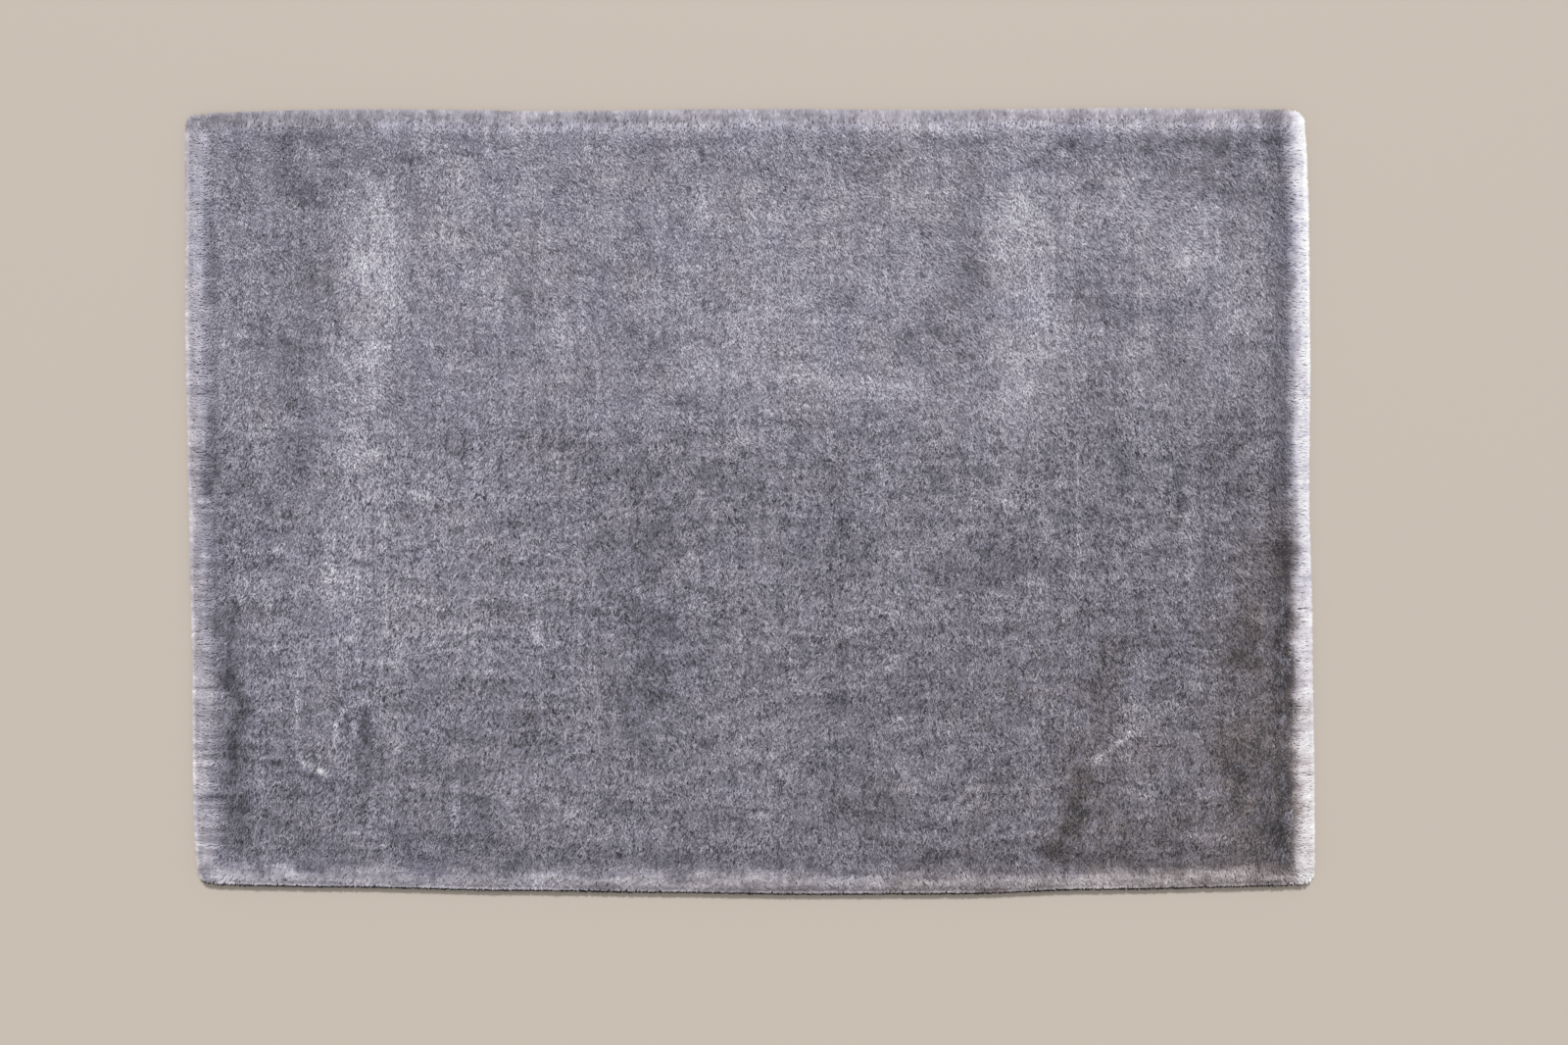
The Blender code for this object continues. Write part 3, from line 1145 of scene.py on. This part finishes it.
@dataclass
class PlushPile:
    """The pile: leaning strands over the field and splayed ones along the edges."""

    form: RugForm
    nap: Nap
    finish: bpy.types.Material
    spacing: float = 0.00215
    half_width: float = 0.00120
    bands: int = 4
    root_share: float = 0.785  # how high in the pile the field's strands leave the under-pile
    gather: float = 0.10  # how far tips close in on the middle of their lock
    calm: float = 0.075  # how far in from the edges the strands grow as mixed as the field's
    busy: float = 2.15  # how mixed the strands are over the front half
    calmer: float = 0.80  # how much less so over the back part
    lock: Spot = (0.0036, 0.0052)  # a lock's length along the rug and across it
    lean_spread: Spot = (0.0008, 0.0016)  # from lock to lock, and from strand to strand
    tone_spread: Spot = (0.029, 0.070)
    edge_root: float = 0.010  # how far in from the outline the outermost strands stand
    edge_spacing: float = 0.00185
    edge_half_width: float = 0.0015
    edge_lock: float = 0.0055
    edge_tone_spread: Spot = (0.032, 0.036)
    edge_splay: float = 0.006  # how far out the innermost of the edges' tips lie
    edge_scatter: float = 0.0010  # how unevenly the outermost tips end
    edge_lowest: float = 0.0012  # how near the floor a tip may come
    tucked_inset: Spot = (0.026, 0.012)  # where strands begin to tuck in, and over what width
    tucked_short: float = -0.0034  # how far inside the outline their tips end at least

    def scattered(self, spacing: float, seed: int, field: bool) -> Values:
        """Roots on a jittered grid over the rug's box.

        Args:
            spacing: The grid's spacing.
            seed: The jitter's seed.
            field: Whether the roots are the field's, or else the edges'.

        Returns:
            Rows of x and y, thinned out over the strip where the two meet.
        """
        rng = np.random.default_rng(seed)
        grid = np.meshgrid(
            *(np.arange(self.form.low[k], self.form.high[k], spacing) for k in (0, 1)),
            indexing="ij",
        )
        roots = np.stack([part.ravel() for part in grid], 1)
        roots += rng.uniform(-0.5, 0.5, roots.shape) * spacing
        inset = self.form.inset(*roots.T)
        meeting = np.array([EDGE_SHAPES[side].meeting for side in Side])[self._nearest(roots)]
        wander = inset + 0.004 * PlanNoise(33, 0.03).at(*roots.T)
        share = np.clip((wander - meeting[:, 0]) / (meeting[:, 1] - meeting[:, 0]), 0, 1)
        drawn = rng.uniform(0.0, 1.0, len(roots))
        return roots[(drawn < share) if field else (drawn > share) & (inset > self.edge_root)]

    def _nearest(self, roots: Values) -> Values:
        """The number of the side that each root lies nearest to."""
        insets = self.form.insets(*roots.T)
        return np.argmin(np.stack([insets[side] for side in Side]), axis=0)

    def field_bands(self) -> list[bpy.types.Object]:
        """The open field's strands.

        Returns:
            The pieces, as bands across the rug from left to right.
        """
        roots = self.scattered(self.spacing, 31, field=True)
        edges = np.quantile(roots[:, 0], np.linspace(0, 1, self.bands + 1)[1:-1])
        band = np.searchsorted(edges, roots[:, 0])
        return [
            self._field(f"pile_band_{k + 1}", roots[band == k], 40 + k) for k in range(self.bands)
        ]

    def _field(self, name: str, place: Values, seed: int) -> bpy.types.Object:
        """Builds one band of the field.

        Args:
            name: The piece's name.
            place: The strands' roots, as rows of x and y.
            seed: The seed of the strands' own draws.

        Returns:
            The piece.
        """
        rng = np.random.default_rng(seed)
        count = len(place)
        locks = Locks(*self.lock, 51)
        middle, number = locks.nearest(*place.T)
        drawn = locks.draws(number, 52, 4)
        root = np.column_stack([place, self.root_share * self.form.heights.at(*place.T)])
        busy = self.busy - self.calmer * self.nap.backness(*place.T)
        lean = self.nap.lean(*middle.T) + self.lean_spread[0] * drawn[:, :2]
        lean = lean + self.lean_spread[1] * busy[:, None] * rng.normal(0, 1, (count, 2))
        tip_at = place + self.gather * (middle - place) + lean
        reach = 0.95 + 0.03 * drawn[:, 2] + 0.04 * rng.normal(0, 1, count)
        tip_z = self.form.heights.at(*tip_at.T) * np.clip(reach, 0.80, 1.06)
        line = np.stack([root, np.column_stack([tip_at, tip_z])], 1)
        across = self._across(lean, rng, 0.5)
        half_width = self.half_width * rng.uniform(0.75, 1.25, (count, 1)) * np.array([[1.0, 0.0]])
        busy *= np.clip(self.form.inset(*place.T) / self.calm, 0.35, 1.0)
        common, single = self.tone_spread
        own = busy * (common * drawn[:, 3] + single * rng.normal(0, 1, count))
        own *= 1 - 2.4 * own  # more dark strands than light ones
        # The roots are darker: painted shade deep in the pile.
        return self._dressed(name, line, half_width, across, own, steps=(-0.02, 0.02))

    def edge_sides(self) -> list[bpy.types.Object]:
        """The splayed strands.

        Returns:
            A piece for each side.
        """
        roots = self.scattered(self.edge_spacing, 32, field=False)
        nearest = self._nearest(roots)
        return [self._edge(side, roots[nearest == k], 60 + k) for k, side in enumerate(Side)]

    def _edge(self, side: Side, place: Values, seed: int) -> bpy.types.Object:
        """Builds one side's splayed pile, which rolls over the cloth's edge towards the floor.

        Args:
            side: The side.
            place: The strands' roots, as rows of x and y.
            seed: The seed of the strands' own draws.

        Returns:
            The piece.
        """
        shape = EDGE_SHAPES[side]
        rng = np.random.default_rng(seed)
        count = len(place)
        locks = Locks(self.edge_lock, self.edge_lock, 53)
        middle, number = locks.nearest(*place.T)
        drawn = locks.draws(number, 54, 5)
        inset = self.form.inset(*place.T)
        outward = self.form.outward(*place.T)
        root_z = np.minimum(self.root_share * self.form.heights.at(*place.T), 0.5 * inset)
        root = np.column_stack([place, root_z])
        share = np.clip(inset / shape.meeting[1], 0, 1)
        splay = shape.splay * (1 - share) + self.edge_splay
        begin, over = self.tucked_inset
        tucked = rng.uniform(0.0, 1.0, count) < np.clip((begin - inset) / over, 0, shape.tucked)
        short = np.where(tucked, min(shape.short, self.tucked_short), shape.short)
        splay = np.minimum(splay, inset - short + self.edge_scatter * rng.normal(0, 1, count))
        aside = np.stack([-outward[:, 1], outward[:, 0]], 1)
        swing = (0.05 + 0.12 * shape.contrast) * (drawn[:, 0] + rng.normal(0, 1, count))
        lean = outward * splay[:, None] + aside * (swing * (0.004 + splay))[:, None]
        lean = lean * (1 - share**3)[:, None] + (share**2)[:, None] * self.nap.lean(*place.T)
        tip_at = place + 0.25 * shape.contrast * (middle - place) + lean
        height = np.maximum(self.form.heights.at(*tip_at.T), shape.lip)
        uneven = shape.contrast * (0.03 * drawn[:, 2] + 0.05 * rng.normal(0, 1, count))
        reach = np.clip(0.94 + uneven, 0.7, 1.08)
        tip_z = height * np.where(tucked, rng.uniform(0.15, shape.wall, count), reach)
        tip = np.column_stack([tip_at, np.maximum(tip_z, self.edge_lowest)])
        line = bent(root, tip, lift=0.9, spread=0.40, steps=3)
        across = self._across(lean, rng, 0.15 + 0.3 * shape.contrast)
        half_width = rng.uniform(0.7, 1.2, (count, 1)) * np.array([[0.0, 1.0, 0.0]])
        half_width *= self.edge_half_width
        common, single = self.edge_tone_spread
        own = shape.contrast * (common * drawn[:, 3] + single * rng.normal(0, 1, count))
        # Painted contact shadow: the tucked strands in the gap over the floor are darker, and browner
        # below.
        own -= shape.gap * tucked
        piece = self._dressed(
            f"edge_pile_{side.name.lower()}",
            line,
            half_width,
            across,
            own,
            # the root darker: painted shade deep in the pile
            steps=(-0.05, 0.0, 0.02),
            carried=np.clip(shape.carried * (1 + drawn[:, 4]), 0, 0.9),
            # browner tucked strands, the colour of the painted contact shadow
            warmer=2.0 * shape.gap * tucked,
        )
        light_evenly(piece, shape.even)
        return piece

    def _across(self, lean: Values, rng: np.random.Generator, twist: float) -> Values:
        """The level way across each blade, square to its lean but for a random twist.

        Args:
            lean: Which way each blade leans.
            rng: Where the twist is drawn from.
            twist: The twist's spread.

        Returns:
            Rows of x, y and 0.
        """
        turn = np.arctan2(lean[:, 1], lean[:, 0]) + np.pi / 2 + twist * rng.normal(0, 1, len(lean))
        return np.stack([np.cos(turn), np.sin(turn), np.zeros(len(lean))], 1)

    def _dressed(
        self,
        name: str,
        line: Values,
        half_width: Values,
        across: Values,
        own: Values,
        steps: tuple[float, ...],
        carried: float | Values = 0.0,
        warmer: float | Values = 0.0,
    ) -> bpy.types.Object:
        """Builds a piece whose strands take their tone from where they lie.

        Args:
            name: The piece's name.
            line: Points along each strand.
            half_width: Half of each blade's width at each step.
            across: The way across each blade.
            own: How much lighter each strand is than its place.
            steps: How much lighter each step of a strand is than its place; the root's step is darker,
                painted shade deep in the pile.
            carried: How far back to its root each strand takes its tone from.
            warmer: How much warmer each strand is than its place, here the brown of the painted contact
                shadow.

        Returns:
            The piece in its finish.
        """
        back = np.broadcast_to(carried, len(line))[:, None, None]
        place = line[:, :, :2] + back * (line[:, :1, :2] - line[:, :, :2])
        shade = self.nap.light.at(place[:, :, 0], place[:, :, 1]) + own[:, None] + np.array(steps)
        warmth = self.nap.warm.at(place[:, :, 0], place[:, :, 1])
        warmth += np.broadcast_to(warmer, len(line))[:, None]
        piece = strand_mesh(name, line, half_width, across, np.stack([shade, warmth], 2))
        piece.data.materials.append(self.finish)
        return piece


# --- Cloth ---


@dataclass
class FlatBody:
    """A closed body over the rug's plan, drawn in from the outline, with a shaped top."""

    name: str
    form: RugForm
    finish: bpy.types.Material
    draw_in: float
    cell: float
    floor: float

    def top(self, x: Values, y: Values) -> Values:
        """The height of the top at each place."""
        raise NotImplementedError

    def make(self) -> bpy.types.Object:
        """Builds the body: a grid bent to the outline, with its rim turned down and closed.

        Returns:
            The piece.
        """
        mesh = bmesh.new()
        spans = [self.form.high[k] - self.form.low[k] for k in (0, 1)]
        bmesh.ops.create_grid(
            mesh,
            x_segments=int(spans[0] / self.cell),
            y_segments=int(spans[1] / self.cell),
            size=0.5,  # so that its places run from -0.5 to 0.5
        )
        places = np.array([vert.co[:2] for vert in mesh.verts])
        x, y = self._laid(places[:, 0], places[:, 1])
        heights = self.top(x, y)
        for vert, *place in zip(mesh.verts, x, y, heights):
            vert.co = place
        rim = [edge for edge in mesh.edges if edge.is_boundary]
        grown = bmesh.ops.extrude_edge_only(mesh, edges=rim)["geom"]
        for vert in (item for item in grown if isinstance(item, bmesh.types.BMVert)):
            vert.co.z = self.floor
        rim = [edge for edge in mesh.edges if edge.is_boundary]
        bmesh.ops.edgeloop_fill(mesh, edges=rim)
        bmesh.ops.recalc_face_normals(mesh, faces=mesh.faces)
        mesh.verts.index_update()
        # The rim's faces come in no fixed order, so all are sorted to give the same mesh each run.
        corners = sorted([vert.index for vert in face.verts] for face in mesh.faces)
        data = bpy.data.meshes.new(self.name)
        data.from_pydata([vert.co[:] for vert in mesh.verts], [], corners)
        mesh.free()
        data.shade_smooth()
        data.set_sharp_from_angle(angle=math.radians(60))
        data.materials.append(self.finish)
        return placed(self.name, data)

    def _laid(self, s: Values, t: Values) -> tuple[Values, Values]:
        """Carries a unit square's places to the rug's drawn-in outline with round corners.

        Args:
            s: Places along the square, from -0.5 to 0.5.
            t: Places across it.

        Returns:
            Places along and across the rug.
        """
        spans = [self.form.high[k] - self.form.low[k] - 2 * self.draw_in for k in (0, 1)]
        half = [span / 2 for span in spans]
        u, v = s * spans[0], t * spans[1]
        over_u = np.abs(u) - (half[0] - RugForm.CORNER)
        over_v = np.abs(v) - (half[1] - RugForm.CORNER)
        corner = (over_u > 0) & (over_v > 0)
        pull = np.maximum(over_u, over_v) / np.maximum(np.hypot(over_u, over_v), LEAST)
        u = np.where(corner, np.sign(u) * (half[0] - RugForm.CORNER + over_u * pull), u)
        v = np.where(corner, np.sign(v) * (half[1] - RugForm.CORNER + over_v * pull), v)
        left, right, front, back = (
            np.interp(side.along(u, v), *self.form.lines[side]) - self.draw_in for side in Side
        )
        to_right, to_back = u / spans[0], v / spans[1]
        x = u + (0.5 - to_right) * (half[0] - left) + (0.5 + to_right) * (right - half[0])
        y = v + (0.5 - to_back) * (half[1] - front) + (0.5 + to_back) * (back - half[1])
        return x, y


@dataclass
class GroundCloth(FlatBody):
    """The knitted cloth that carries the pile, flat on the floor."""

    thickness: float = 0.0022
    uneven: float = 0.0001

    def top(self, x: Values, y: Values) -> Values:
        """An even thickness, with the knit's slight unevenness."""
        return self.thickness + self.uneven * PlanNoise(71, 0.04).at(x, y)


@dataclass
class UnderPile(FlatBody):
    """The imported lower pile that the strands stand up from."""

    share: float = 0.790
    rim: float = 0.003  # the height of its rim
    slope: float = 0.45  # how steeply it rises from there
    tuft: float = 0.0006

    def top(self, x: Values, y: Values) -> Values:
        """A share of the pile's height, lumpy with tufts and low at the rim.

        Args:
            x: Places along the rug.
            y: Places across the rug.

        Returns:
            One height for each place.
        """
        inset = self.form.inset(x, y)
        low = self.rim + self.slope * inset
        height = np.minimum(self.share * self.form.heights.at(x, y), low)
        return height + self.tuft * PlanNoise(72, 0.017).at(x, y)


# --- Studio ---


@dataclass
class Studio:
    """Pale floor, soft light and a camera straight above."""

    form: RugForm
    frame_width: float = 3.214
    lens: float = 40.0
    aim: Spot = (0.070, -0.043)
    floor_size: float = 60.0
    key_strength: float = 3.05
    key_elevation: float = 42.0
    key_azimuth: float = 4.0  # from the back edge towards the right
    key_angle: float = 7.0
    sky: float = 0.59

    def build(self) -> None:
        """Sets up the floor, the light and the camera."""
        self._floor()
        self._light()
        self._camera()
        bpy.context.scene.view_settings.view_transform = "Standard"

    def _floor(self) -> None:
        """Lays a plain floor under the rug."""
        bpy.ops.mesh.primitive_plane_add(size=self.floor_size, location=(0, 0, 0))
        floor = bpy.context.object
        floor.name = "studio_floor"
        floor.data.materials.append(FloorFinish().material())

    def _light(self) -> None:
        """Hangs a soft key light beyond the back edge, with an even fill from all round."""
        key = bpy.data.lights.new("key_light", "SUN")
        key.energy = self.key_strength
        key.angle = math.radians(self.key_angle)
        azimuth, elevation = math.radians(self.key_azimuth), math.radians(self.key_elevation)
        level = math.cos(elevation)
        towards = (math.sin(azimuth) * level, math.cos(azimuth) * level, math.sin(elevation))
        turn = Vector(towards).to_track_quat("Z", "Y").to_euler()
        placed("key_light", key).rotation_euler = turn
        world = bpy.data.worlds.new("studio_fill")
        world.use_nodes = True
        sky = world.node_tree.nodes["Background"].inputs
        sky["Color"].default_value = (1, 1, 1, 1)
        sky["Strength"].default_value = self.sky
        bpy.context.scene.world = world

    def _camera(self) -> None:
        """Sets a camera above the rug, looking straight down."""
        data = bpy.data.cameras.new("overhead_camera")
        data.lens = self.lens
        camera = placed("overhead_camera", data)
        height = self.frame_width * self.lens / data.sensor_width
        camera.location = (*self.aim, height + self.form.top / 2)
        bpy.context.scene.camera = camera


def join_frame(piece: bpy.types.Object) -> None:
    """Makes a piece ride on the frame in place of the rug's solid, and reports it.

    Args:
        piece: The piece.
    """
    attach(piece, BODY)
    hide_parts(RUG_NODE)
    LOG.info("%s: %d faces", piece.name, len(piece.data.polygons))


def main() -> None:
    """Builds the rug's pieces from the floor up, then the studio."""
    logging.basicConfig(level=logging.INFO, format="%(name)s %(message)s")
    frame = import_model()
    form = RugForm(frame["nodes"][RUG_NODE])
    nap = Nap(form)
    cloth = GroundCloth(
        "ground_cloth", form, GroundClothFinish().material(), draw_in=CLOTH_INSET, cell=0.04, floor=0.0
    ).make()
    under = UnderPile(
        "under_pile", form, UnderPileFinish().material(), draw_in=0.0055, cell=0.016, floor=0.0026
    ).make()
    pile = PlushPile(form, nap, PlushFinish().material())
    pieces = [cloth, under, *pile.field_bands(), *pile.edge_sides()]
    for piece in pieces:
        join_frame(piece)
    cut = tuple(form.high[k] - form.low[k] - 2 * CLOTH_INSET for k in (0, 1))
    Studio(form).build()


if __name__ == "__main__":
    main()
